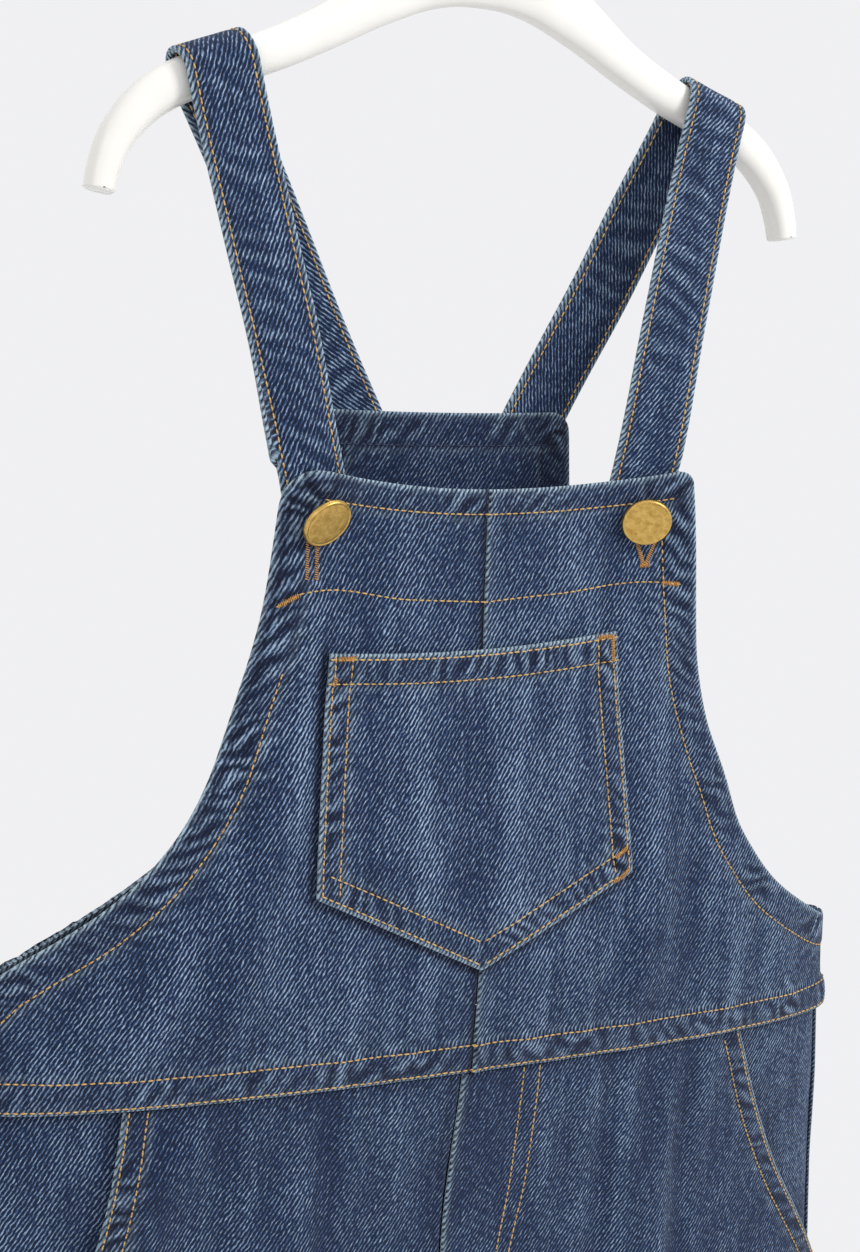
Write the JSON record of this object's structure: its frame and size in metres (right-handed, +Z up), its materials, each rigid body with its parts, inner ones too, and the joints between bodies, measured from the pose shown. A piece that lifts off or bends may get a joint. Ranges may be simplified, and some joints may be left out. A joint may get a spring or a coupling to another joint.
{
  "type": "dungarees on hanger",
  "caption": "Child's washed denim dungarees with a bib pocket, slant pockets and button straps, hanging hollow from a white plastic hanger with a wire hook.",
  "frame": {"origin": "the point on the inside of the hook's top where it rests on a rail, in the hanger's middle plane", "axes": "+Z up, along the garment's length; +Y towards its back; +X towards the wearer's left"},
  "size_m": [0.3844, 0.0801, 1.1271],
  "materials": {
    "denim": "washed mid-blue twill, golden tan topstitching",
    "button_brass": "satin antique brass",
    "hanger_plastic": "glossy white",
    "hook_steel": "polished wire"
  },
  "bodies": {
    "root": {"front_bib_left": "denim", "front_bib_right": "denim", "back_bib": "denim", "front_leg_left": "denim", "front_leg_right": "denim", "back_leg_left": "denim", "back_leg_right": "denim", "bib_pocket": "denim", "strap_left": "denim", "strap_right": "denim", "pocket_facing_left": "denim", "pocket_facing_right": "denim", "button_left": "button_brass", "button_right": "button_brass", "hanger_body": "hanger_plastic", "hanger_hook": "hook_steel"}
  },
  "joints": []
}
